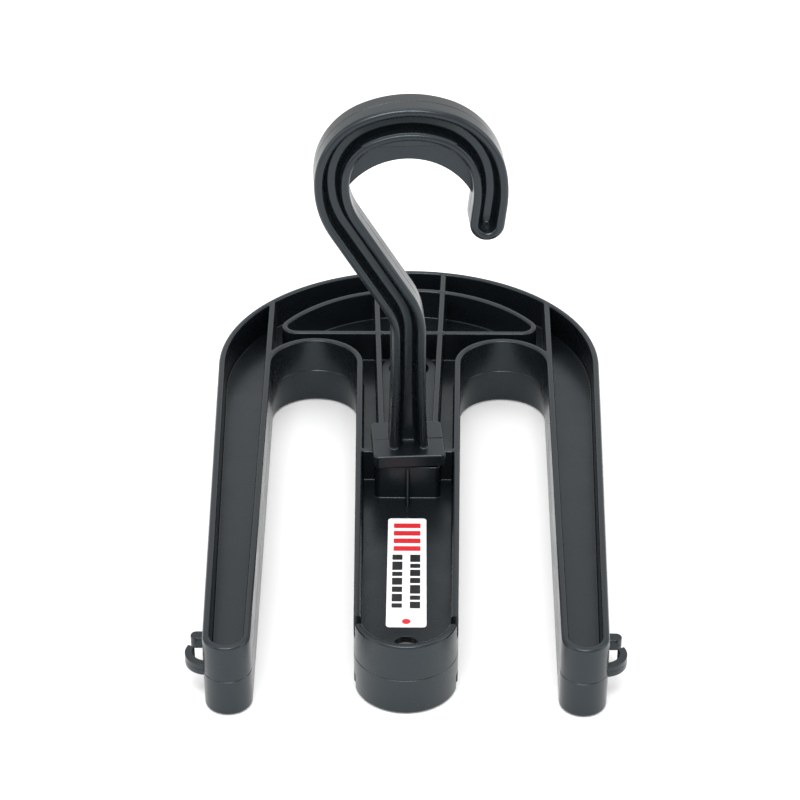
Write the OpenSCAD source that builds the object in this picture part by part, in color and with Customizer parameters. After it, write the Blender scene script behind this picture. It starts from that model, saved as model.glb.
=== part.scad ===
// Boot hanger: a three-pronged fork that lies level and holds a pair of boots
// by their ankles, hung from a hook that swivels on a hub in the fork.
// X runs across the prongs, Y from the leg tips to the arch, Z up.
// The origin is under the middle of the fork, on the plane of its lower rims.

/* [Fork] */
// Radius of the round arch that closes the back of the fork
arch_r = 117; // [114:0.5:120]
// Distance from the leg tips to the centre of the arch
arch_y = 296; // [291:0.5:297]
// Lean of the fork's outer sides, in degrees: the legs narrow to their tips
side_taper = 2.5; // [2.2:0.1:2.8]
// Height of the fork, from its lower rims to its upper rims
fork_h = 43; // [40:0.5:48]
// Thickness of the rim walls
wall = 4; // [3:0.5:4.5]
// Thickness of the floor in each half of the fork
floor_t = 2; // [1.5:0.5:3]

/* [Slots] */
// Width of each boot slot
slot_w = 52.6; // [51:0.2:55]
// Distance from the middle of the fork to the closed end of a slot
slot_x = 58.4; // [57:0.1:59]
// Distance from the leg tips to the centre of a slot's round closed end
slot_y = 292; // [286:0.5:294]
// Splay of the slots, in degrees: they spread towards the arch
slot_splay = 1.03; // [0.8:0.01:1.2]
// How far the middle prong's tip stands back from the tips of the legs
prong_back = 2; // [0:0.5:4]

/* [Ribs] */
// Radius of the curved rib behind the slots, to its middle
lens_r = 90; // [86:0.5:92]
// Distance from the leg tips to the straight rib behind the slots
lens_y = 329.7; // [328:0.1:333]
// Thickness of the ribs
rib = 3.8; // [3:0.1:4.2]

/* [Holes] */
// Radius of the round hole near the tip of the middle prong
tip_hole_r = 6.4; // [4:0.1:8]
// Radius of the large hole behind the hook
back_hole_r = 12; // [8:0.5:13]

/* [Side rings] */
// Outer radius of the small open rings on the legs
ring_r = 12.2; // [11:0.1:12.5]
// Thickness of the small rings and of the stubs that close them
ring_t = 6.7; // [5:0.1:8]

/* [Hook] */
// Width of the hook's I-section, over its two flanges
hook_w = 19; // [17:0.5:20]
// Depth of the hook's I-section, front to back
hook_d = 23; // [20:0.5:24]
// Thickness of the web between the flanges
web_t = 3; // [2:0.5:4]
// Width of the block at the foot of the hook
block_w = 41; // [38:1:44]
// Depth of the block at the foot of the hook
block_d = 38; // [35:1:40]
// Height of the block at the foot of the hook
block_h = 7.3; // [6:0.1:9]
// Angle that the hook is turned from square to the prongs, in degrees
hook_turn = 4; // [0:0.5:10]

/* [Swivel] */
// Distance from the leg tips to the swivel's axis
pivot_y = 187.5; // [184:0.5:190]
// Radius of the hook's round stem
stem_r = 10.5; // [10:0.5:11]
// Gap between the stem and the hub around it
stem_gap = 0.06; // [0.02:0.01:0.1]

/* [Hidden] */
$fn = 96;
eps = 0.01;

moulded = "#2f3337";
steel = "#b9bcc0";

fork_len = arch_y + arch_r;
half_h = fork_h / 2;
slot_r = slot_w / 2;
cos_side = cos(side_taper);
sin_side = sin(side_taper);
cos_splay = cos(slot_splay);
sin_splay = sin(slot_splay);

// The middle prong's round tip touches both slots and a line behind the leg tips
prong_r = (slot_x * cos_splay - (slot_y - prong_back) * sin_splay - slot_r) / (1 - sin_splay);

// A leg's round tip touches its slot, the fork's side and the line of the tips
leg_gap = (arch_r - arch_y * sin_side) / cos_side
        - slot_x - (slot_r - slot_y * sin_splay) / cos_splay;
leg_r = leg_gap / ((1 - sin_side) / cos_side + (1 + sin_splay) / cos_splay);
leg_x = (arch_r - leg_r - (arch_y - leg_r) * sin_side) / cos_side;

// Socket box around the hub; its upper rim stands proud of the fork's rims
socket_w = 37;
socket_d = 35;
socket_wall = 3.5;
socket_corner = 3;
socket_proud = 1.2;
socket_top = fork_h + socket_proud;
hub_r = 14.5;
hub_bottom = 12;
gusset_t = 2.4;
gusset_reach = 9.3;

// Raised tongue between the long ribs, with the large hole in its round end
tongue_h = 8;
tongue_r = 17;
tongue_y = 305;

// Half the spacing of the long ribs, at the socket and at the arch
long_rib_near = 15.2;
long_rib_far = 22.2;
long_rib_end = fork_len - 3.5;
short_rib_len = sqrt(pow(arch_r - 1.5, 2) - pow(slot_x + slot_r + wall, 2)) + arch_y - slot_y;
cross_rib_y = 191;
cross_rib_reach = 27.5;
lens_corner = 10;

// Notches that part the tip wall from the side walls of the middle prong
notch_near = 22.3;
notch_len = 6.7;
notch_depth = 10;
notch_in = 18;
notch_out = 30;

tip_hole_y = 31.3;

// Small open rings: an arm that curls round from the leg, and a straight stub
ring_x = 103;
ring_y = 22.5;
ring_w = 4.2;
ring_root = -100;
ring_tip = 27;
stub_y = 36.5;
stub_r = 3.2;
stub_x = 110.2;

// Swivel hardware, from the top down
washer_gap = 0.1;
thrust_t = 1.2;
thrust_r = 14.4;
block_z = socket_top + thrust_t + washer_gap;
block_top = block_z + block_h;
block_corner = 3;
stem_bottom = hub_bottom - 0.3;
retainer_t = 2.5;
retainer_r = 13.5;
lock_t = 2;
lock_r = 7;
head_h = 5.3;
head_top = stem_bottom - retainer_t - lock_t;
bolt_r = 4;
bolt_hole_r = 4.2;
bolt_top = 33;
hex_af = 13;
hex_gap = 0.1;
nut_h = 6.5;
nut_z = 22;

// Label on the floor of the middle prong
label_w = 21.6;
label_len = 103;
label_y = 97;
label_t = 0.3;
label_corner = 2;

// Hook: its flanges have round noses and thicken towards the web
nose_r = 2.5;
flange_root = 7;
foot_len = 40;
foot_lean = 2.1;
foot_sink = 1;
lap = 0.3;
slimmer = 0.02;
shank_len = 72.9;
neck_lean = 31.5;
neck_bend_r = 38.8;
neck_len = 55.4;
tip_len = 10.9;
// The loop's arcs in turn: radius of the middle line, and angle turned
loop = [[47.2, 37], [32.3, 62.1], [56.3, 42.1], [37.6, 62.5], [61, 14.5]];
// Flat pad and thin crescent inside the loop, measured from the block's top
pad_z = 188.6;
pad_d = 21.8;
crescent_r = 40;
crescent_x = -0.9;
crescent_z = 137.1;
crescent_low = 152;

// Points along an arc, from angle a to angle b in n steps
function arc(c, r, a, b, n) =
    [for (i = [0:n]) c + r * [cos(a + (b - a) * i / n), sin(a + (b - a) * i / n)]];

// The other half of a symmetric outline whose half starts and ends at x = 0
function flip(pts) = [for (i = [len(pts) - 2:-1:1]) [-pts[i][0], pts[i][1]]];
function both(half) = concat(half, flip(half));

// Outline of the fork, moved inwards by inset
function fork_line(inset) = both(concat(
    arc([0, arch_y], arch_r - inset, 90, -side_taper, 24),
    arc([leg_x, leg_r], leg_r - inset, -side_taper, -180 - slot_splay, 16),
    arc([slot_x, slot_y], slot_r + inset, -slot_splay, 180 - slot_splay, 24),
    arc([0, prong_back + prong_r], prong_r - inset, -slot_splay, -90, 12)));

// Outline of the lens-shaped rib, moved inwards by inset from its outer face
function lens_line(inset) =
    let (r = lens_r + rib / 2 - inset,
         low = lens_y - rib / 2 + inset,
         c = lens_corner - inset,
         cy = low + c,
         cx = sqrt(pow(r - c, 2) - pow(cy - arch_y, 2)),
         a = atan2(cy - arch_y, cx))
    both(concat(arc([0, arch_y], r, 90, a, 20), arc([cx, cy], c, a, -90, 8), [[0, low]]));

function round_rect(w, d, c) = concat(
    arc([w / 2 - c, d / 2 - c], c, 0, 90, 5),
    arc([c - w / 2, d / 2 - c], c, 90, 180, 5),
    arc([c - w / 2, c - d / 2], c, 180, 270, 5),
    arc([w / 2 - c, c - d / 2], c, 270, 360, 5));

// Start and heading of each arc of the hook's loop, which turns clockwise
neck_start = [neck_bend_r * (cos(neck_lean) - 1), shank_len + neck_bend_r * sin(neck_lean)];
neck_end = neck_start + neck_len * [-sin(neck_lean), cos(neck_lean)];
function left_of(h) = [-sin(h), cos(h)];
function loop_heading(i) = i == 0 ? 90 + neck_lean : loop_heading(i - 1) - loop[i - 1][1];
function loop_start(i) = i == 0 ? neck_end
    : loop_centre(i - 1) + loop[i - 1][0] * left_of(loop_heading(i));
function loop_centre(i) = loop_start(i) - loop[i][0] * left_of(loop_heading(i));

function lap_angle(r) = lap / r * 180 / PI;

// A line along the whole loop, moved inwards from its middle line
function loop_line(inset) = [for (i = [0:len(loop) - 1])
    each arc(loop_centre(i), loop[i][0] - inset,
             loop_heading(i) + 90, loop_heading(i + 1) + 90, 8)];

module plan() {
    translate([0, -fork_len / 2]) children();
}

module at_pivot() {
    plan() translate([0, pivot_y]) rotate(hook_turn) children();
}

module mirrored() {
    children();
    mirror([1, 0, 0]) children();
}

// ---- Fork ----

module rim_walls() {
    difference() {
        polygon(fork_line(0));
        polygon(fork_line(wall));
    }
}

module lens_rib() {
    difference() {
        polygon(lens_line(0));
        polygon(lens_line(rib));
    }
}

module straight_ribs() {
    near = pivot_y + socket_d / 2 - socket_wall / 2;
    mirrored() {
        polygon([[long_rib_near - rib / 2, near], [long_rib_near + rib / 2, near],
                 [long_rib_far + rib / 2, long_rib_end], [long_rib_far - rib / 2, long_rib_end]]);
        translate([slot_x, slot_y]) rotate(-slot_splay) translate([slot_r + slimmer, 0])
            square([wall - 2 * slimmer, short_rib_len]);
        translate([socket_w / 2 - socket_wall / 2, cross_rib_y - rib / 2])
            square([cross_rib_reach - socket_w / 2 + socket_wall / 2, rib]);
    }
}

module socket_box() {
    translate([0, pivot_y]) difference() {
        polygon(round_rect(socket_w, socket_d, socket_corner));
        polygon(round_rect(socket_w - 2 * socket_wall, socket_d - 2 * socket_wall, 1));
    }
}

module tongue() {
    near = pivot_y + socket_d / 2 - socket_wall / 2;
    polygon(concat([[-long_rib_near, near], [long_rib_near, near]],
                   arc([0, tongue_y], tongue_r, 0, 180, 18)));
}

module side_ring() {
    c = [ring_x, ring_y];
    polygon(concat(arc(c, ring_r, ring_root, ring_tip, 14),
                   arc(c, ring_r - ring_w, ring_tip, ring_root, 14)));
    polygon(concat([[ring_x, stub_y - stub_r]], arc([stub_x, stub_y], stub_r, -90, 90, 8),
                   [[ring_x, stub_y + stub_r]]));
}

module gusset(h) {
    face = pivot_y - socket_d / 2;
    translate([-gusset_t / 2, 0, 0]) rotate([90, 0, 90]) linear_extrude(gusset_t)
        polygon([[face + eps, 0], [face + eps, h], [face - gusset_reach, floor_t],
                 [face - gusset_reach, 0]]);
}

module notches() {
    mirrored() translate([notch_in, notch_near, half_h - notch_depth])
        cube([notch_out - notch_in, notch_len, notch_depth + eps]);
}

// One half of the fork, standing on the plane where the two halves meet
module fork_half(proud, hub_h) {
    difference() {
        union() {
            linear_extrude(floor_t) polygon(fork_line(0));
            linear_extrude(half_h) rim_walls();
            linear_extrude(half_h) lens_rib();
            linear_extrude(half_h) straight_ribs();
            linear_extrude(half_h + proud) socket_box();
            linear_extrude(floor_t + tongue_h) tongue();
            linear_extrude(ring_t / 2) mirrored() side_ring();
            gusset(half_h + proud / 2);
            translate([0, pivot_y, 0]) cylinder(r = hub_r, h = hub_h);
        }
        translate([0, pivot_y, -eps]) cylinder(r = stem_r + stem_gap, h = fork_h);
        translate([0, tongue_y, -eps]) cylinder(r = back_hole_r, h = fork_h);
        translate([0, tip_hole_y, -eps]) cylinder(r = tip_hole_r, h = fork_h);
        notches();
    }
}

module frame_upper_half() {
    color(moulded) plan() translate([0, 0, half_h])
        fork_half(socket_proud, half_h + socket_proud);
}

module frame_lower_half() {
    color(moulded) plan() translate([0, 0, half_h]) mirror([0, 0, 1])
        fork_half(0, half_h - hub_bottom);
}

// ---- Hook ----

// The I-section's outline from its outer face round one nose to the web, all of
// it inside the true section by s
function flange_line(s) = concat([[hook_w / 2 - s, 0]],
    arc([hook_w / 2 - nose_r, hook_d / 2 - nose_r], nose_r - s, 0, 180, 8),
    [[hook_w / 2 - flange_root + s, web_t / 2 - s]]);

module flange() {
    polygon(concat(flange_line(0), [[hook_w / 2 - flange_root, 0]]));
}

module section(s) {
    line = flange_line(s);
    polygon(concat(line, [for (i = [len(line) - 1:-1:0]) [-line[i][0], line[i][1]]]));
}

// The blade's lengths in turn. Each one laps a little into the next, and every
// other one is a hair slimmer, so that they join as one solid.
module ahead(length, s) {
    translate([0, length + lap, 0]) rotate([90, 0, 0]) linear_extrude(length + lap) section(s);
    translate([0, length, 0]) children();
}

module bend_left(r, angle, s) {
    translate([-r, 0, 0]) rotate_extrude(angle = angle + lap_angle(r)) translate([r, 0]) section(s);
    translate([-r, 0, 0]) rotate(angle) translate([r, 0, 0]) children();
}

module bend_right(r, angle, s) {
    translate([r, 0, 0]) rotate(180 - angle - lap_angle(r))
        rotate_extrude(angle = angle + lap_angle(r)) translate([r, 0]) section(s);
    translate([r, 0, 0]) rotate(-angle) translate([-r, 0, 0]) children();
}

module bends_right(i) {
    if (i == len(loop)) children();
    else bend_right(loop[i][0], loop[i][1], (i % 2) * slimmer) bends_right(i + 1) children();
}

module round_tip() {
    rotate_extrude(angle = 180) polygon(concat(flange_line(0), [[0, web_t / 2], [0, 0]]));
}

module foot() {
    spread = foot_len * tan(foot_lean);
    inner = hook_w / 2 - flange_root + eps;
    top = foot_len + lap;
    linear_extrude(web_t / 2)
        polygon([[-inner - spread, 0], [inner + spread, 0], [inner, top], [-inner, top]]);
    mirrored() translate([hook_w / 2, foot_len, 0]) rotate(foot_lean)
        translate([-hook_w / 2, lap, 0]) rotate([90, 0, 0])
        linear_extrude(foot_len + foot_sink + lap) flange();
}

// Flat pad and thin crescent inside the loop
module pad() {
    linear_extrude(pad_d / 2) intersection() {
        polygon(loop_line(hook_w / 2 - nose_r));
        translate([-hook_w, pad_z]) square([3 * hook_w, hook_w]);
    }
}

module crescent() {
    linear_extrude(web_t / 2) difference() {
        polygon(loop_line(hook_w / 2 - nose_r));
        translate([crescent_x, crescent_z]) circle(crescent_r);
        translate([-3 * hook_w, crescent_low - 4 * hook_w]) square([6 * hook_w, 4 * hook_w]);
    }
}

// The front half of the hook's blade, lying flat with its depth along Z
module blade() {
    foot();
    translate([0, foot_len, 0]) ahead(shank_len - foot_len, slimmer)
        bend_left(neck_bend_r, neck_lean, 0) ahead(neck_len, slimmer)
        bends_right(0) ahead(tip_len, slimmer) round_tip();
    pad();
    crescent();
}

module half_block() {
    linear_extrude(block_h) intersection() {
        polygon(round_rect(block_w, block_d, block_corner));
        translate([-block_w, -block_d]) square([2 * block_w, block_d]);
    }
}

module hexagon(af, h) {
    cylinder(r = af / sqrt(3), h = h, $fn = 6);
}

// The front half of the round stem, with half of the nut's pocket inside it
module half_stem() {
    difference() {
        rotate(180) rotate_extrude(angle = 180) translate([0, stem_bottom])
            square([stem_r, block_z - stem_bottom + eps]);
        translate([0, 0, stem_bottom - 1]) cylinder(r = bolt_hole_r, h = bolt_top - stem_bottom + 2);
        translate([0, 0, nut_z - hex_gap]) hexagon(hex_af + 2 * hex_gap, nut_h + 2 * hex_gap);
    }
}

// Front half of the hook, standing at the swivel's axis
module hook_half() {
    translate([0, 0, block_top]) rotate([90, 0, 0]) blade();
    translate([0, 0, block_z]) half_block();
    half_stem();
}

module hook_front_half() {
    color(moulded) at_pivot() hook_half();
}

module hook_rear_half() {
    color(moulded) at_pivot() mirror([0, 1, 0]) hook_half();
}

// ---- Swivel hardware ----

module washer(r, hole, h) {
    difference() {
        cylinder(r = r, h = h);
        translate([0, 0, -1]) cylinder(r = hole, h = h + 2);
    }
}

module thrust_washer() {
    color("#e8e6df") at_pivot() translate([0, 0, socket_top])
        washer(thrust_r, stem_r + 0.3, thrust_t);
}

module captive_nut() {
    color(steel) at_pivot() translate([0, 0, nut_z]) difference() {
        hexagon(hex_af, nut_h);
        translate([0, 0, -1]) cylinder(r = bolt_r + 0.05, h = nut_h + 2);
    }
}

module retaining_washer() {
    color(steel) at_pivot() translate([0, 0, stem_bottom - retainer_t])
        washer(retainer_r, bolt_hole_r, retainer_t);
}

module lock_washer() {
    color(steel) at_pivot() translate([0, 0, head_top]) washer(lock_r, bolt_hole_r, lock_t);
}

module retaining_bolt() {
    color(steel) at_pivot() {
        translate([0, 0, head_top - head_h]) hexagon(hex_af, head_h);
        translate([0, 0, head_top - eps]) cylinder(r = bolt_r, h = bolt_top - head_top + eps);
    }
}

module label() {
    color("white") plan() translate([0, label_y, half_h + floor_t])
        linear_extrude(label_t) polygon(round_rect(label_w, label_len, label_corner));
}

frame_upper_half();
frame_lower_half();
hook_front_half();
hook_rear_half();
thrust_washer();
captive_nut();
retaining_washer();
lock_washer();
retaining_bolt();
label();
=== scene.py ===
# Boot hanger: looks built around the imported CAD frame. Sizes below are in
# millimetres in the CAD's own layout and are scaled to metres at the end.
import math

import bmesh
import bpy
from mathutils import Matrix, Vector
from mathutils.geometry import delaunay_2d_cdt


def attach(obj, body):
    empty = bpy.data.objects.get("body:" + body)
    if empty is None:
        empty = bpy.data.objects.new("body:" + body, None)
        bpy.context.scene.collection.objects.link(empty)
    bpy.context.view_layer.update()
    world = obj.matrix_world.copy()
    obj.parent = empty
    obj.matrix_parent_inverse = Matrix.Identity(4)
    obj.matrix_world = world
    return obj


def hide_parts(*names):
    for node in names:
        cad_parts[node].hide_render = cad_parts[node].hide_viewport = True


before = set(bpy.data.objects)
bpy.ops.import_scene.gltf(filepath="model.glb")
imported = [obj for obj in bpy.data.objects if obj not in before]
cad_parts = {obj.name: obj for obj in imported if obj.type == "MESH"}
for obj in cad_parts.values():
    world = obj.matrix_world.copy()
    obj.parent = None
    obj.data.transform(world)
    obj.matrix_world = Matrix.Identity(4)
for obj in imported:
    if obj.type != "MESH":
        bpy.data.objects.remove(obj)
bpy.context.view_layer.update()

MM = 0.001

# ---- The fork's plan, as in the CAD: y runs from the leg tips ----
ARCH_R, ARCH_Y, TAPER = 117.0, 296.0, 2.5
HALF_H, WALL, FLOOR_T = 21.5, 4.0, 2.0
SLOT_R, SLOT_X, SLOT_Y, SPLAY, PRONG_BACK = 26.3, 58.4, 292.0, 1.03, 2.0
LENS_R, LENS_Y, RIB, LENS_CORNER = 90.0, 329.7, 3.8, 10.0
TIP_HOLE_R, TIP_HOLE_Y, BACK_HOLE_R = 6.4, 31.3, 12.0
PIVOT_Y, HOOK_TURN = 187.5, 4.0
FORK_LEN = ARCH_Y + ARCH_R
SOCKET_W, SOCKET_D, SOCKET_WALL, SOCKET_PROUD = 37.0, 35.0, 3.5, 1.2
HUB_R, HUB_BOTTOM, STEM_R, STEM_GAP = 14.5, 12.0, 10.5, 0.06
TONGUE_H, TONGUE_R, TONGUE_Y = 8.0, 17.0, 305.0
RIB_NEAR, RIB_FAR = 15.2, 22.2
CROSS_Y = 191.0
NOTCH_NEAR, NOTCH_LEN, NOTCH_DEPTH = 22.3, 6.7, 10.0

sin, cos, rad = math.sin, math.cos, math.radians
ss, cs = sin(rad(SPLAY)), cos(rad(SPLAY))
st, ct = sin(rad(TAPER)), cos(rad(TAPER))
PRONG_R = (SLOT_X * cs - (SLOT_Y - PRONG_BACK) * ss - SLOT_R) / (1 - ss)
LEG_GAP = (ARCH_R - ARCH_Y * st) / ct - SLOT_X - (SLOT_R - SLOT_Y * ss) / cs
LEG_R = LEG_GAP / ((1 - st) / ct + (1 + ss) / cs)
LEG_X = (ARCH_R - LEG_R - (ARCH_Y - LEG_R) * st) / ct


def arc(c, r, a, b, step=1.1):
    n = max(3, int(abs(rad(b - a)) * r / step))
    return [(c[0] + r * cos(rad(a + (b - a) * i / n)), c[1] + r * sin(rad(a + (b - a) * i / n)))
            for i in range(n + 1)]


def both(half):
    """A symmetric loop from its right half, which starts and ends at x = 0."""
    return half + [(-x, y) for x, y in reversed(half[1:-1])]


def fork_line(inset):
    return both(arc((0, ARCH_Y), ARCH_R - inset, 90, -TAPER)
                + arc((LEG_X, LEG_R), LEG_R - inset, -TAPER, -180 - SPLAY)
                + arc((SLOT_X, SLOT_Y), SLOT_R + inset, -SPLAY, 180 - SPLAY)
                + arc((0, PRONG_BACK + PRONG_R), PRONG_R - inset, -SPLAY, -90))


def lens_line(inset):
    r = LENS_R + RIB / 2 - inset
    low = LENS_Y - RIB / 2 + inset
    c = LENS_CORNER - inset
    cy = low + c
    cx = math.sqrt((r - c) ** 2 - (cy - ARCH_Y) ** 2)
    a = math.degrees(math.atan2(cy - ARCH_Y, cx))
    return both(arc((0, ARCH_Y), r, 90, a) + arc((cx, cy), c, a, -90, 0.6) + [(0, low)])


def round_rect(w, d, c, x=0.0, y=0.0, step=0.4):
    pts = []
    for i, (sx, sy) in enumerate(((1, 1), (-1, 1), (-1, -1), (1, -1))):
        pts += arc((x + sx * (w / 2 - c), y + sy * (d / 2 - c)), c, 90 * i, 90 * i + 90, step)
    return pts


def mirror_x(pts):
    return [(-x, y) for x, y in reversed(pts)]


# ---- Plan regions and loops ----

def area_of(pts):
    return sum(Vector(pts[i - 1]).cross(Vector(pts[i])) for i in range(len(pts))) / 2


def region_loops(shapes, keep):
    """Outlines of the region where keep(names) holds, with the material on their left."""
    verts, faces, names = [], [], []
    for name, pts in shapes:
        pts = pts if area_of(pts) > 0 else pts[::-1]
        faces.append(list(range(len(verts), len(verts) + len(pts))))
        names.append(name)
        verts += [Vector(p) for p in pts]
    v, _, f, _, _, of = delaunay_2d_cdt(verts, [], faces, 0, 1e-4, True)
    edges = {}
    for tri, owners in zip(f, of):
        if keep({names[i] for i in owners}):
            area = sum(v[tri[i]].cross(v[tri[(i + 1) % 3]]) for i in range(3))
            t = tri if area > 0 else tri[::-1]
            for i in range(3):
                edges[(t[i], t[(i + 1) % 3])] = True
    border = {}
    for a, b in edges:
        if (b, a) not in edges:
            border.setdefault(a, []).append(b)
    loops = []
    while border:
        start = next(iter(border))
        loop, at = [], start
        while at in border:
            loop.append(at)
            nxt = border[at].pop()
            if not border[at]:
                del border[at]
            at = nxt
        loops.append([(v[i].x, v[i].y) for i in loop])
    return [clean(p) for p in loops if len(p) > 3]


def clean(pts, near=0.05):
    out = []
    for p in pts:
        if not out or math.dist(p, out[-1]) > near:
            out.append(p)
    if math.dist(out[0], out[-1]) < near:
        out.pop()
    return out


def turn_at(a, b, c):
    v1, v2 = Vector(b) - Vector(a), Vector(c) - Vector(b)
    return math.atan2(v1.cross(v2), v1.dot(v2))


def soften(pts, reach, limit=22):
    """Rounds each sharp corner of a loop over a length reach on both sides of it."""
    n = len(pts)
    sharp = [i for i in range(n)
             if abs(math.degrees(turn_at(pts[i - 1], pts[i], pts[(i + 1) % n]))) > limit]
    if not sharp:
        return pts
    lengths = [math.dist(pts[i], pts[(i + 1) % n]) for i in range(n)]
    along = [0.0]
    for x in lengths:
        along.append(along[-1] + x)
    total = along[-1]

    def at(s):
        s %= total
        k = next(i for i in range(n) if along[i + 1] >= s)
        t = (s - along[k]) / max(lengths[k], 1e-9)
        p, q = pts[k], pts[(k + 1) % n]
        return (p[0] + (q[0] - p[0]) * t, p[1] + (q[1] - p[1]) * t)

    out = []
    for i in range(n):
        s = along[i]
        if i in sharp:
            a, b, c = at(s - reach), pts[i], at(s + reach)
            for k in range(7):
                t = k / 6
                out.append(tuple((1 - t) ** 2 * a[j] + 2 * t * (1 - t) * b[j] + t * t * c[j]
                                 for j in (0, 1)))
        elif all(min(abs(s - along[j]), total - abs(s - along[j])) > reach * 1.02 for j in sharp):
            out.append(pts[i])
    return clean(out, 0.03)


def refill(pts, longest=6.0):
    """Splits a loop's long edges, so that its walls are made of even faces."""
    out = []
    for p, q in zip(pts, pts[1:] + pts[:1]):
        n = max(1, math.ceil(math.dist(p, q) / longest))
        out += [(p[0] + (q[0] - p[0]) * i / n, p[1] + (q[1] - p[1]) * i / n) for i in range(n)]
    return out


def inset_loop(pts, d):
    """The loop moved towards the material on its left by d."""
    out = []
    n = len(pts)
    for i, p in enumerate(pts):
        a, c = Vector(pts[i - 1]), Vector(pts[(i + 1) % n])
        e1, e2 = (Vector(p) - a).normalized(), (c - Vector(p)).normalized()
        m = Vector((-e1.y - e2.y, e1.x + e2.x))
        m = m / max(m.length_squared / 2, 0.35)
        out.append((p[0] + m.x * d, p[1] + m.y * d))
    return out


# ---- Mesh building ----

def cap(bm, solid, holes, up):
    """Fills the flat region that lies inside the solid rings and outside the holes."""
    verts, faces, owner = [], [], []
    for ring in solid + holes:
        pts = [Vector((v.co.x, v.co.y)) for v in ring]
        turn = 1 if area_of(pts) > 0 else -1
        faces.append(list(range(len(verts), len(verts) + len(pts)))[::turn])
        verts += pts
        owner += ring
    v, _, f, ov, _, of = delaunay_2d_cdt(verts, [], faces, 0, 1e-7, True)
    for tri, owners in zip(f, of):
        if not owners or any(i >= len(solid) for i in owners) or any(not ov[i] for i in tri):
            continue
        t = [owner[ov[i][0]] for i in tri]
        if len(set(t)) < 3:
            continue
        area = sum(v[tri[i]].cross(v[tri[(i + 1) % 3]]) for i in range(3))
        if (area > 0) != up:
            t.reverse()
        if bm.faces.get(t) is None:
            bm.faces.new(t)


def ring_at(bm, pts, d, z):
    return [bm.verts.new((x, y, z)) for x, y in inset_loop(pts, d)]


def strip(bm, low, high):
    n = len(low)
    for i in range(n):
        j = (i + 1) % n
        bm.faces.new((low[i], low[j], high[j], high[i]))


def wall(bm, pts, profile):
    """Rings of a loop at each (inset, height) of a profile, joined in turn."""
    rings = [ring_at(bm, pts, d, z) for d, z in profile]
    for a, b in zip(rings, rings[1:]):
        strip(bm, a, b)
    return rings[0], rings[-1]


def rounded(d, z, r, n=5, top=True):
    """Profile points of a rounded edge that starts on the wall at inset d."""
    pts = []
    for i in range(n + 1):
        a = rad(90 * i / n)
        pts.append((d + r * (1 - cos(a)), z - r + r * sin(a)))
    return pts if top else [(x, 2 * z - y) for x, y in reversed(pts)]


def slab(bm, loops, z0, z1, r_top, r_low=0.0, draft=0.0):
    """A closed plate between two heights with rounded edges."""
    lows, highs = ([], []), ([], [])
    for pts in loops:
        hole = area_of(pts) < 0
        low = rounded(0, z0, r_low, top=False) if r_low else [(0, z0)]
        high = rounded(draft, z1, r_top) if r_top else [(draft, z1)]
        a, b = wall(bm, pts, low + high)
        lows[hole].append(a)
        highs[hole].append(b)
    cap(bm, *lows, False)
    cap(bm, *highs, True)


def circle(c, r, n=64, hole=False):
    pts = [(c[0] + r * cos(2 * math.pi * i / n), c[1] + r * sin(2 * math.pi * i / n))
           for i in range(n)]
    return pts[::-1] if hole else pts


def lathe(bm, profile, n=72, a0=0, a1=360, at=(0, 0)):
    """Turns a closed (radius, height) profile, anticlockwise seen with radius to the right."""
    full = a1 - a0 >= 360
    cols = []
    for k in range(n if full else n + 1):
        a = rad(a0 + (a1 - a0) * k / n)
        cols.append([bm.verts.new((at[0] + r * cos(a), at[1] + r * sin(a), z)) for r, z in profile])
    m = len(profile)
    pairs = list(zip(cols, cols[1:])) + ([(cols[-1], cols[0])] if full else [])
    for c0, c1 in pairs:
        for i in range(m):
            j = (i + 1) % m
            bm.faces.new((c0[i], c1[i], c1[j], c0[j]))
    if not full:
        bm.faces.new(cols[0])
        bm.faces.new(cols[-1][::-1])


def finish(bm, name, material, body, matrix=Matrix.Identity(4), sharp=32, weighted=True):
    bmesh.ops.remove_doubles(bm, verts=bm.verts, dist=1e-5)
    bmesh.ops.dissolve_degenerate(bm, edges=bm.edges, dist=1e-6)
    bm.transform(Matrix.Scale(MM, 4) @ matrix)
    if matrix.determinant() < 0:
        bmesh.ops.reverse_faces(bm, faces=bm.faces)
    mesh = bpy.data.meshes.new(name)
    bm.to_mesh(mesh)
    bm.free()
    mesh.polygons.foreach_set("use_smooth", [True] * len(mesh.polygons))
    mesh.set_sharp_from_angle(angle=rad(sharp))
    mesh.materials.append(material)
    o = bpy.data.objects.new(name, mesh)
    bpy.context.scene.collection.objects.link(o)
    if weighted:
        m = o.modifiers.new("even_normals", "WEIGHTED_NORMAL")
        m.keep_sharp = True
        m.weight = 50
    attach(o, body)
    return o


# ---- Materials ----

def node(tree, kind, **values):
    n = tree.nodes.new(kind)
    for key, value in values.items():
        if key in n.inputs:
            n.inputs[key].default_value = value
        else:
            setattr(n, key, value)
    return n


def spread(tree, source, low, high, to_low, to_high):
    """Maps a noise's range (low, high) onto another range."""
    n = node(tree, "ShaderNodeMapRange")
    for key, value in (("From Min", low), ("From Max", high),
                       ("To Min", to_low), ("To Max", to_high)):
        n.inputs[key].default_value = value
    tree.links.new(source.outputs["Fac"], n.inputs["Value"])
    return n.outputs["Result"]


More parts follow.
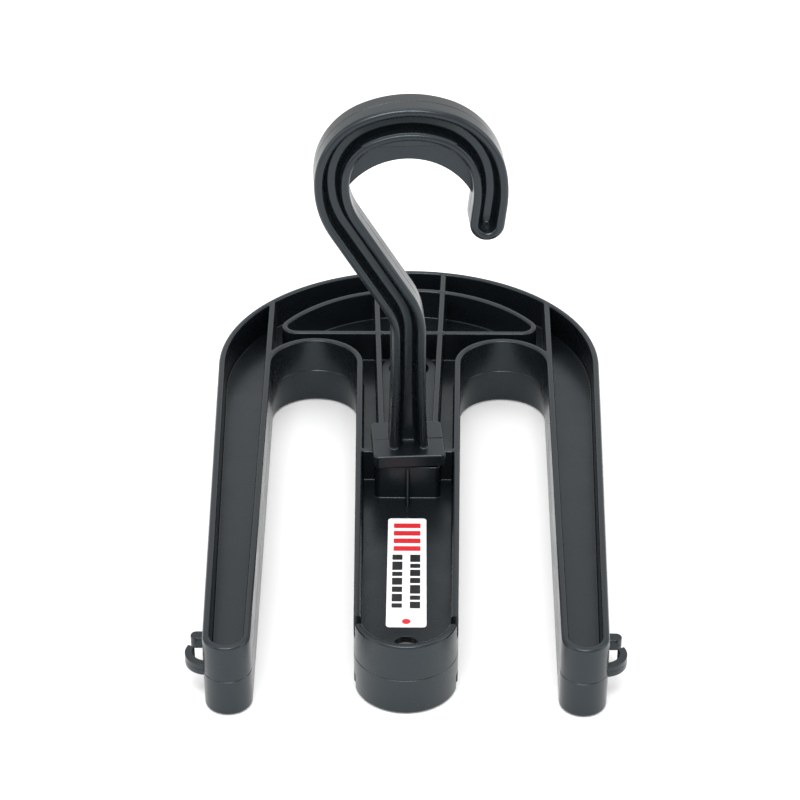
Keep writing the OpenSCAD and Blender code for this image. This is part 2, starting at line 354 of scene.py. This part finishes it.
def moulded_plastic(name, base=(0.0045, 0.0058, 0.0072), rough=0.27):
    """Satin black plastic with a fine moulded grain and faint polish marks."""
    m = bpy.data.materials.new(name)
    m.use_nodes = True
    t = m.node_tree
    b = t.nodes["Principled BSDF"]
    b.inputs["IOR"].default_value = 1.5
    b.inputs["Specular Tint"].default_value = (0.80, 0.93, 1.0, 1)
    coord = t.nodes.new("ShaderNodeTexCoord")
    link = t.links.new
    grain = node(t, "ShaderNodeTexNoise", Scale=2600.0, Detail=3.0, Roughness=0.6)
    cloud = node(t, "ShaderNodeTexNoise", Scale=38.0, Detail=4.0, Roughness=0.55)
    flow = node(t, "ShaderNodeTexNoise", Scale=9.0, Detail=2.0, Roughness=0.5)
    for n in (grain, cloud, flow):
        link(coord.outputs["Object"], n.inputs["Vector"])
    tone = spread(t, grain, 0.3, 0.7, 0.84, 1.2)
    mix = node(t, "ShaderNodeMix", data_type="RGBA", blend_type="MULTIPLY")
    mix.inputs["Factor"].default_value = 1.0
    mix.inputs["A"].default_value = (*base, 1)
    comb = t.nodes.new("ShaderNodeCombineColor")
    for k in ("Red", "Green", "Blue"):
        link(tone, comb.inputs[k])
    link(comb.outputs["Color"], mix.inputs["B"])
    link(mix.outputs["Result"], b.inputs["Base Color"])
    link(spread(t, cloud, 0.25, 0.75, rough - 0.06, rough + 0.07), b.inputs["Roughness"])
    fine = node(t, "ShaderNodeBump", Strength=0.22, Distance=0.00006)
    link(grain.outputs["Fac"], fine.inputs["Height"])
    wave = node(t, "ShaderNodeBump", Strength=0.25, Distance=0.0004)
    link(flow.outputs["Fac"], wave.inputs["Height"])
    link(wave.outputs["Normal"], fine.inputs["Normal"])
    link(fine.outputs["Normal"], b.inputs["Normal"])
    return m


def simple(name, color, rough, metallic=0.0, scale=900.0, bump=0.1):
    m = bpy.data.materials.new(name)
    m.use_nodes = True
    t = m.node_tree
    b = t.nodes["Principled BSDF"]
    b.inputs["Base Color"].default_value = (*color, 1)
    b.inputs["Metallic"].default_value = metallic
    coord = t.nodes.new("ShaderNodeTexCoord")
    n = node(t, "ShaderNodeTexNoise", Scale=scale, Detail=3.0)
    t.links.new(coord.outputs["Object"], n.inputs["Vector"])
    t.links.new(spread(t, n, 0, 1, rough - 0.08, rough + 0.08), b.inputs["Roughness"])
    p = node(t, "ShaderNodeBump", Strength=bump, Distance=0.00005)
    t.links.new(n.outputs["Fac"], p.inputs["Height"])
    t.links.new(p.outputs["Normal"], b.inputs["Normal"])
    return m


plastic = moulded_plastic("moulded_plastic")
zinc = simple("zinc_steel", (0.6, 0.61, 0.63), 0.32, 1.0)
washer_plastic = simple("washer_plastic", (0.75, 0.74, 0.7), 0.45)
film_white = simple("film_white", (0.86, 0.87, 0.88), 0.25, bump=0.04)
ink_red = simple("ink_red", (0.62, 0.02, 0.03), 0.3, bump=0.04)
ink_black = simple("ink_black", (0.012, 0.012, 0.013), 0.3, bump=0.04)

# ---- Fork halves ----

TO_ROW = Matrix.Translation((0, -FORK_LEN / 2, HALF_H))
UPSIDE = Matrix.Translation((0, -FORK_LEN / 2, HALF_H)) @ Matrix.Scale(-1, 4, (0, 0, 1))


def long_rib():
    near = PIVOT_Y + SOCKET_D / 2 - SOCKET_WALL / 2
    h = RIB / 2
    return [(RIB_NEAR - h, near), (RIB_NEAR + h, near), (RIB_FAR + h, FORK_LEN - 3.5),
            (RIB_FAR - h, FORK_LEN - 3.5)]


def short_rib():
    start = Vector((SLOT_X, SLOT_Y)) + SLOT_R * Vector((cs, -ss))
    across, along = Vector((cs, -ss)), Vector((ss, cs))
    length = math.sqrt((ARCH_R - 1.5) ** 2 - (SLOT_X + SLOT_R + WALL) ** 2) + ARCH_Y - SLOT_Y
    start = start + along * 2
    length -= 2
    return [tuple(start + across * 0.02), tuple(start + across * (WALL - 0.02)),
            tuple(start + across * (WALL - 0.02) + along * length),
            tuple(start + across * 0.02 + along * length)]


def cross_rib():
    h = RIB / 2
    near = SOCKET_W / 2 - 1.7
    return [(near, CROSS_Y - h), (CROSS_REACH, CROSS_Y - h), (CROSS_REACH, CROSS_Y + h),
            (near, CROSS_Y + h)]


def rim_shapes():
    shapes = [("out", fork_line(0)), ("inn", fork_line(WALL)),
              ("lens_out", lens_line(0)), ("lens_in", lens_line(RIB)),
              ("socket", round_rect(SOCKET_W - 0.1, SOCKET_D - 0.1, 3, 0, PIVOT_Y)),
              ("socket_in", round_rect(SOCKET_W - 2 * SOCKET_WALL + 0.1,
                                       SOCKET_D - 2 * SOCKET_WALL + 0.1, 1, 0, PIVOT_Y))]
    for rib in (long_rib(), short_rib(), cross_rib()):
        shapes += [("rib", rib), ("rib", mirror_x(rib))]
    return shapes


def is_rim(names):
    if "out" not in names or "socket_in" in names:
        return False
    return ("inn" not in names or "rib" in names or "socket" in names
            or ("lens_out" in names and "lens_in" not in names))


# Rounds of the outer rims and of the pockets' rims, draft, seam groove, foot fillets
RIM_R, POCKET_R, DRAFT, SEAM, FOOT_R = 1.5, 1.2, 0.1, 0.35, 0.8
RING_AT, RING_R, RING_W, RING_H = (103.0, 22.5), 12.2, 4.2, 3.35
STUB_AT, STUB_R = (110.2, 36.5), 3.2
CROSS_REACH = 27.5
NOTCH_X, NOTCH_W = 24.0, 12.0
GUSSET_REACH = 9.3
# Thickness of the gusset's crest and root, and how far each stands back
GUSSET_STEPS = ((1.6, 0.0), (2.6, 0.9))


def side_ring(bm):
    """Half of a small open ring and its stub, standing on the seam plane."""
    root, y = RING_AT[0], STUB_AT[1]
    arm = arc(RING_AT, RING_R, -100, 27, 0.7) + arc(RING_AT, RING_R - RING_W, 27, -100, 0.7)
    stub = ([(root, y - STUB_R)] + arc(STUB_AT, STUB_R, -90, 90, 0.5) + [(root, y + STUB_R)])
    for pts in (soften(clean(arm), 0.7), soften(clean(stub), 0.7)):
        for side in (pts, mirror_x(pts)):
            slab(bm, [side], 0.0, RING_H, 0.5, 0.3)


def fork_half(upper):
    """One half of the fork, standing on the seam plane."""
    bm = bmesh.new()
    loops = region_loops(rim_shapes(), is_rim)
    outer = max(loops, key=area_of)
    pockets = [soften(p, 1.3) for p in loops if p is not outer]
    holes = [circle((0, TIP_HOLE_Y), TIP_HOLE_R, hole=True),
             circle((0, TONGUE_Y), BACK_HOLE_R + 0.3, hole=True),
             circle((0, PIVOT_Y), STEM_R + 1.5, hole=True)]
    top = HALF_H
    low, rim = wall(bm, refill(outer, 3), [(SEAM, 0), (0, SEAM)] + rounded(DRAFT, top, RIM_R))
    fillet = [(-FOOT_R * (1 - sin(rad(a))), FLOOR_T + FOOT_R * (1 - cos(rad(a))))
              for a in (0, 30, 60, 90)]
    feet, rims = zip(*(wall(bm, refill(p, 3), fillet + rounded(DRAFT, top, POCKET_R, 4))
                       for p in pockets))
    lows, edges = zip(*(wall(bm, p, [(0, 0)] + rounded(0, FLOOR_T, 0.3, 3)) for p in holes))
    cap(bm, [rim], list(rims), True)
    cap(bm, list(feet), list(edges), True)
    cap(bm, [low], list(lows), False)
    notch(bm)
    # Socket rim, hub, tongue and gusset
    proud = SOCKET_PROUD if upper else 0.0
    slab(bm, [round_rect(SOCKET_W, SOCKET_D, 3, 0, PIVOT_Y),
              round_rect(SOCKET_W - 2 * SOCKET_WALL, SOCKET_D - 2 * SOCKET_WALL, 1,
                         0, PIVOT_Y)[::-1]], 0.5, top + proud, 0.7)
    hub_top = top + proud if upper else HALF_H - HUB_BOTTOM
    bore = STEM_R + STEM_GAP
    lathe(bm, [(bore, 0.05), (HUB_R, 0.05), (HUB_R, hub_top - 0.5), (HUB_R - 0.5, hub_top),
               (bore + 0.4, hub_top), (bore, hub_top - 0.4)], at=(0, PIVOT_Y))
    near = PIVOT_Y + SOCKET_D / 2 - 1
    tongue = clean([(-RIB_NEAR, near), (RIB_NEAR, near)] + arc((0, TONGUE_Y), TONGUE_R, 0, 180))
    slab(bm, [refill(tongue, 4), circle((0, TONGUE_Y), BACK_HOLE_R, hole=True)], 0.05,
         FLOOR_T + TONGUE_H, 0.7)
    gusset(bm, top + proud / 2)
    side_ring(bm)
    return bm


def notch(bm):
    """Cuts the slots that part the prong's tip wall from its side walls."""
    cutter = bmesh.new()
    for sx in (1, -1):
        box = round_rect(NOTCH_W, NOTCH_LEN, 0.8, sx * NOTCH_X, NOTCH_NEAR + NOTCH_LEN / 2)
        slab(cutter, [box], HALF_H - NOTCH_DEPTH, HALF_H + 5, 0.0, 0.6)
    objects = []
    for part in (bm, cutter):
        mesh = bpy.data.meshes.new("cut")
        part.to_mesh(mesh)
        o = bpy.data.objects.new("cut", mesh)
        bpy.context.scene.collection.objects.link(o)
        objects.append(o)
    cutter.free()
    tool = objects[0].modifiers.new("cut", "BOOLEAN")
    tool.object = objects[1]
    tool.solver = "EXACT"
    graph = bpy.context.evaluated_depsgraph_get()
    bm.clear()
    bm.from_mesh(objects[0].evaluated_get(graph).data)
    for o in objects:
        bpy.data.meshes.remove(o.data)


def gusset(bm, h):
    """The thin brace in front of the socket: a narrow crest on a wider root."""
    face = PIVOT_Y - SOCKET_D / 2
    side = bmesh.new()
    for t, back in GUSSET_STEPS:
        top = h - 0.6 - back
        front = face - GUSSET_REACH + back
        outline = [(face + 1, 0.5), (face + 1, top), (face - 0.4 + back / 2, top),
                   (front, FLOOR_T + 0.2), (front, 0.5)]
        slab(side, [outline[::-1]], -t / 2, t / 2, 0.6, 0.6)
    # The outline lies in (y, z); the plate's thickness is along x
    turn = Matrix(((0, 0, 1, 0), (1, 0, 0, 0), (0, 1, 0, 0), (0, 0, 0, 1)))
    side.transform(turn)
    join(bm, side)


def join(bm, other):
    table = [bm.verts.new(v.co) for v in other.verts]
    other.verts.index_update()
    for f in other.faces:
        bm.faces.new([table[v.index] for v in f.verts])
    other.free()


upper = finish(fork_half(True), "fork_upper_half", plastic, "frame", TO_ROW)
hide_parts("frame_upper_half")
lower = finish(fork_half(False), "fork_lower_half", plastic, "frame", UPSIDE)
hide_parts("frame_lower_half")

# ---- Hook ----

HOOK_W, HOOK_D, WEB, NOSE, ROOT = 19.0, 23.0, 3.0, 2.5, 7.0
BLOCK_W, BLOCK_D, BLOCK_H = 41.0, 38.0, 7.3
BLOCK_Z = 2 * HALF_H + SOCKET_PROUD + 1.3
BLOCK_TOP = BLOCK_Z + BLOCK_H
FOOT_LEN, FOOT_LEAN, FOOT_SINK, FOOT_FILLET = 40.0, 2.1, 1.0, 1.5
SHANK, NECK_R, NECK_LEAN, NECK_LEN, TIP_LEN = 72.9, 38.8, 31.5, 55.4, 10.9
LOOP = ((47.2, 37), (32.3, 62.1), (56.3, 42.1), (37.6, 62.5), (61, 14.5))
PAD_Z, PAD_D, CRESCENT_LOW = 188.6, 21.8, 152.0
CRESCENT_R, CRESCENT_X, CRESCENT_Z = 40.0, -0.9, 137.1
PAD_ROOT = 5.5
STEM_BOTTOM = HUB_BOTTOM - 0.3
# The block's halves stand off the seam: shut at one side, open at the other
GAP_SHUT, GAP_OPEN = 0.05, 0.8


def hook_path(step=1.2):
    """Points (x, z, heading, length so far) along the hook's middle line."""
    x, z, h, s = 0.0, -FOOT_SINK, 90.0, -FOOT_SINK
    pts = [(x, z, h, s)]

    def go(length):
        nonlocal x, z, s
        n = max(1, round(length / step))
        for _ in range(n):
            x += length / n * cos(rad(h))
            z += length / n * sin(rad(h))
            s += length / n
            pts.append((x, z, h, s))

    def bend(r, angle):
        nonlocal x, z, h, s
        side = 1 if angle > 0 else -1
        cx, cz = x - side * r * sin(rad(h)), z + side * r * cos(rad(h))
        n = max(2, round(abs(rad(angle)) * r / step))
        h0 = h
        for i in range(1, n + 1):
            h = h0 + angle * i / n
            x, z = cx + side * r * sin(rad(h)), cz - side * r * cos(rad(h))
            s += abs(rad(angle)) * r / n
            pts.append((x, z, h, s))

    go(FOOT_SINK)
    # Short steps through the fillet at the foot
    for length in (0.15, 0.2, 0.3, 0.4, 0.55):
        z += length
        s += length
        pts.append((x, z, h, s))
    go(SHANK - 1.6)
    bend(NECK_R, NECK_LEAN)
    go(NECK_LEN)
    loop_at = len(pts) - 1
    for r, a in LOOP:
        bend(r, -a)
    loop_end = len(pts) - 1
    go(TIP_LEN)
    return pts, loop_at, loop_end


def half_profile():
    """Right half of the front half of the I-section: (across, depth) from the seam's
    middle, out along the seam plane, round the flange's nose and back to the web."""
    w, d = HOOK_W / 2, HOOK_D / 2
    pts = [(0, 0), (w - SEAM, 0), (w, SEAM)]
    pts += arc((w - NOSE, d - NOSE), NOSE, 0, 180, 0.55)
    pts += [(w - 2 * NOSE - 0.25, 5.0), (w - ROOT + 0.45, 2.9)]
    pts += [(w - ROOT + 0.2, 2.2), (w - ROOT - 0.3, 1.7), (w - ROOT - 0.95, WEB / 2)]
    return pts + [(0, WEB / 2)]


def hook_blade(bm):
    """Sweeps the half profile along the hook's path, flared and filleted at its foot."""
    pts = hook_path()[0]
    right = half_profile()
    m = len(right)
    full = right + [(-x, y) for x, y in reversed(right[1:-1])]
    n = len(full)

    def out_normal(i):
        a, b = full[i - 1], full[(i + 1) % n]
        v = Vector((b[1] - a[1], -(b[0] - a[0])))
        return v.normalized()

    rings = []
    for x, z, h, s in pts:
        flare = max(0.0, FOOT_LEN - s) * math.tan(rad(FOOT_LEAN))
        swell = 0.0
        if s < FOOT_FILLET:
            drop = FOOT_FILLET - max(s, 0)
            swell = FOOT_FILLET - math.sqrt(max(0.0, FOOT_FILLET ** 2 - drop ** 2))
        ring = []
        for i, (a, d) in enumerate(full):
            k = min(1.0, abs(a) / 3.0) * (1 if a > 0 else -1)
            nn = out_normal(i)
            lift = 0.0 if d == 0 else swell * 0.55
            aa = a + k * flare + nn.x * lift
            dd = d + nn.y * lift if d else 0.0
            dd = min(dd, HOOK_D / 2 + 0.9)
            ring.append(bm.verts.new((x + aa * sin(rad(h)), -dd, z - aa * cos(rad(h)))))
        rings.append(ring)
    for r0, r1 in zip(rings, rings[1:]):
        for i in range(n):
            j = (i + 1) % n
            bm.faces.new((r0[i], r1[i], r1[j], r0[j]))
    bm.faces.new(rings[0])
    # The round end turns the half profile through half a circle
    x, z, h, _ = pts[-1]
    last = rings[-1]
    cols = [[last[i] for i in range(m)]]
    steps = 24
    for k in range(1, steps):
        a = rad(h - 90 + 180 * k / steps)
        col = [last[0]]
        for r, d in right[1:-1]:
            col.append(bm.verts.new((x + r * cos(a), -d, z + r * sin(a))))
        col.append(last[m - 1])
        cols.append(col)
    cols.append([last[0]] + [last[(n - i) % n] for i in range(1, m - 1)] + [last[m - 1]])
    for c0, c1 in zip(cols, cols[1:]):
        for i in range(m - 1):
            face = [c0[i], c1[i], c1[i + 1], c0[i + 1]]
            face = [v for k, v in enumerate(face) if v not in face[:k]]
            if len(face) > 2:
                bm.faces.new(face)


def loop_line(inset):
    pts, a, b = hook_path(1.0)
    return [(x + inset * sin(rad(h)), z - inset * cos(rad(h))) for x, z, h, _ in pts[a:b + 1]]


def in_blade(bm, loops, depth, r):
    """A plate in the hook's plane, from the seam forward by depth."""
    side = bmesh.new()
    slab(side, loops, 0.0, depth, r)
    # (x, y, z) -> (x, -z, y): the plate's thickness points forward, along -Y
    side.transform(Matrix(((1, 0, 0, 0), (0, 0, -1, 0), (0, 1, 0, 0), (0, 0, 0, 1))))
    join(bm, side)


def crown(bm):
    """The thin crescent and the flat pad inside the loop."""
    line = loop_line(HOOK_W / 2 - NOSE)
    left, right = -60, 80
    below = [(left, CRESCENT_LOW - 80), (right, CRESCENT_LOW - 80), (right, CRESCENT_LOW),
             (left, CRESCENT_LOW)]
    above = [(left, PAD_Z), (right, PAD_Z), (right, PAD_Z + 40), (left, PAD_Z + 40)]
    disc = circle((CRESCENT_X, CRESCENT_Z), CRESCENT_R, 96)
    shapes = [("loop", line[::-1]), ("low", below), ("disc", disc), ("pad", above)]
    thin = region_loops(shapes, lambda s: "loop" in s and "low" not in s and "disc" not in s)
    in_blade(bm, [refill(p, 3) for p in thin], WEB / 2, 0.4)
    shapes[0] = ("loop", loop_line(HOOK_W / 2 - PAD_ROOT)[::-1])
    pad = region_loops(shapes, lambda s: "loop" in s and "pad" in s)
    in_blade(bm, [refill(soften(p, 2.5), 3) for p in pad], PAD_D / 2, 0.5)


def block(bm, gap_left, gap_right):
    """Front half of the block, cut back from the seam by a gap at each side."""
    part = bmesh.new()
    slab(part, [round_rect(BLOCK_W, BLOCK_D, 3)], BLOCK_Z, BLOCK_TOP, 1.3, 0.4)
    p = Vector((0, -(gap_left + gap_right) / 2, 0))
    normal = Vector((-(gap_right - gap_left) / BLOCK_W, -1, 0)).normalized()
    geom = part.verts[:] + part.edges[:] + part.faces[:]
    cut = bmesh.ops.bisect_plane(part, geom=geom, plane_co=p, plane_no=-normal,
                                 clear_outer=True)
    edges = [e for e in cut["geom_cut"] if isinstance(e, bmesh.types.BMEdge)]
    bmesh.ops.holes_fill(part, edges=edges)
    join(bm, part)


def hook_half(gap_left, gap_right):
    """Front half of the hook at the swivel's axis: blade, crown, block and stem."""
    bm = bmesh.new()
    hook_blade(bm)
    crown(bm)
    bm.transform(Matrix.Translation((0, 0, BLOCK_TOP)))
    block(bm, gap_left, gap_right)
    lathe(bm, [(0.5, STEM_BOTTOM + 22), (STEM_R - 0.6, STEM_BOTTOM), (STEM_R, STEM_BOTTOM + 0.6),
               (STEM_R, BLOCK_Z + 0.5), (0.5, BLOCK_Z + 0.5)], 40, 180, 360)
    return bm


AT_PIVOT = (Matrix.Translation((0, PIVOT_Y - FORK_LEN / 2, 0))
            @ Matrix.Rotation(rad(HOOK_TURN), 4, "Z"))
front = finish(hook_half(GAP_SHUT, GAP_OPEN), "hook_front_shell", plastic, "hook",
               AT_PIVOT)
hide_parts("hook_front_half")
rear = finish(hook_half(GAP_SHUT, GAP_SHUT), "hook_rear_shell", plastic, "hook",
              AT_PIVOT @ Matrix.Scale(-1, 4, (0, 1, 0)))
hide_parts("hook_rear_half")

# ---- Label ----

LABEL_W, LABEL_LEN, LABEL_Y = 21.6, 103.0, 97.0
FILM_T, PRINT_LOW, PRINT_TOP = 0.24, 0.2, 0.29
LABEL_Z = HALF_H + FLOOR_T
# Red bars and a dot, and two columns of black blocks, from the label's middle
BAR_W, BAR_D, BAR_YS, DOT_Y = 15.0, 4.6, (44.0, 36.5, 29.0, 21.5), -46.5
COLUMN_TOP, BLOCK_SIDE, BLOCK_GAP = 15.5, 5.6, 1.7
COLUMNS = ((-5.2, (5, 8, 4, 6.5, 5, 7, 4)), (4.6, (7, 4, 6, 5, 8, 4, 6)))


def patch(bm, x, y, w, d, c):
    """A block of print on the label's film."""
    slab(bm, [round_rect(w, d, c, x, LABEL_Y + y)], LABEL_Z + PRINT_LOW, LABEL_Z + PRINT_TOP, 0.0)


ON_FLOOR = Matrix.Translation((0, -FORK_LEN / 2, 0))
sheet = bmesh.new()
slab(sheet, [round_rect(LABEL_W, LABEL_LEN, 2, 0, LABEL_Y)], LABEL_Z, LABEL_Z + FILM_T, 0.1)
film = finish(sheet, "label_film", film_white, "frame", ON_FLOOR, weighted=False)
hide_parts("label")
red = bmesh.new()
for y in BAR_YS:
    patch(red, 0, y, BAR_W, BAR_D, 0.6)
patch(red, 0, DOT_Y, BAR_D, BAR_D, 2.2)
finish(red, "label_red_print", ink_red, "frame", ON_FLOOR, weighted=False)
black = bmesh.new()
for column, lengths in COLUMNS:
    y = COLUMN_TOP
    for length in lengths:
        patch(black, column, y - length / 2, BLOCK_SIDE, length, 0.5)
        y -= length + BLOCK_GAP
finish(black, "label_black_print", ink_black, "frame", ON_FLOOR, weighted=False)

# ---- CAD nodes that stay ----

for name, material in (("thrust_washer", washer_plastic), ("captive_nut", zinc),
                       ("retaining_washer", zinc), ("lock_washer", zinc),
                       ("retaining_bolt", zinc)):
    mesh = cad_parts[name].data
    mesh.materials.clear()
    mesh.materials.append(material)

# ---- Floor, light and camera ----

bm = bmesh.new()
bmesh.ops.create_grid(bm, x_segments=8, y_segments=8, size=6)
mesh = bpy.data.meshes.new("floor")
bm.to_mesh(mesh)
bm.free()
floor = bpy.data.objects.new("floor", mesh)
bpy.context.scene.collection.objects.link(floor)
floor.location.z = -0.0005
pale = bpy.data.materials.new("pale_floor")
pale.use_nodes = True
pb = pale.node_tree.nodes["Principled BSDF"]
pb.inputs["Base Color"].default_value = (0.86, 0.86, 0.86, 1)
pb.inputs["Roughness"].default_value = 0.9
pb.inputs["Emission Color"].default_value = (1, 1, 1, 1)
pb.inputs["Emission Strength"].default_value = 0.12
pb.inputs["Specular IOR Level"].default_value = 0.2
mesh.materials.append(pale)

world = bpy.data.worlds.new("studio")
bpy.context.scene.world = world
world.use_nodes = True
world.node_tree.nodes["Background"].inputs["Color"].default_value = (1, 1, 1, 1)
world.node_tree.nodes["Background"].inputs["Strength"].default_value = 0.95
bpy.context.scene.view_settings.view_transform = "Standard"


def softbox(name, at, to, size, power):
    light = bpy.data.lights.new(name, "AREA")
    light.shape = "RECTANGLE"
    light.size, light.size_y = size
    light.energy = power
    o = bpy.data.objects.new(name, light)
    bpy.context.scene.collection.objects.link(o)
    o.location = at
    o.rotation_euler = (Vector(to) - Vector(at)).to_track_quat("-Z", "Y").to_euler()
    return o


softbox("top_light", (0.1, 0.5, 1.9), (0, 0, 0), (1.6, 1.2), 9)
softbox("front_light", (-0.1, -1.0, 1.6), (0, 0, 0.05), (1.2, 0.5), 24)
softbox("left_light", (-1.5, -0.5, 0.9), (0, 0, 0.05), (0.9, 1.2), 5)
softbox("right_light", (1.5, -0.2, 0.8), (0, 0, 0.1), (0.9, 1.2), 6)

CAM_F, CAM_SIZE, SENSOR = 2350.0, 800.0, 36.0
CAM_AT = Vector((5.5, -1164.6, 766.9)) * MM
CAM_PITCH, CAM_YAW = 31.0, 0.5
cam = bpy.data.cameras.new("camera")
cam.sensor_width = SENSOR
cam.lens = CAM_F / CAM_SIZE * SENSOR
cam.clip_start = 0.05
cam_obj = bpy.data.objects.new("camera", cam)
bpy.context.scene.collection.objects.link(cam_obj)
look = Vector((-sin(rad(CAM_YAW)) * cos(rad(CAM_PITCH)), cos(rad(CAM_YAW)) * cos(rad(CAM_PITCH)),
               -sin(rad(CAM_PITCH))))
cam_obj.location = CAM_AT
cam_obj.rotation_euler = look.to_track_quat("-Z", "Y").to_euler()
bpy.context.scene.camera = cam_obj
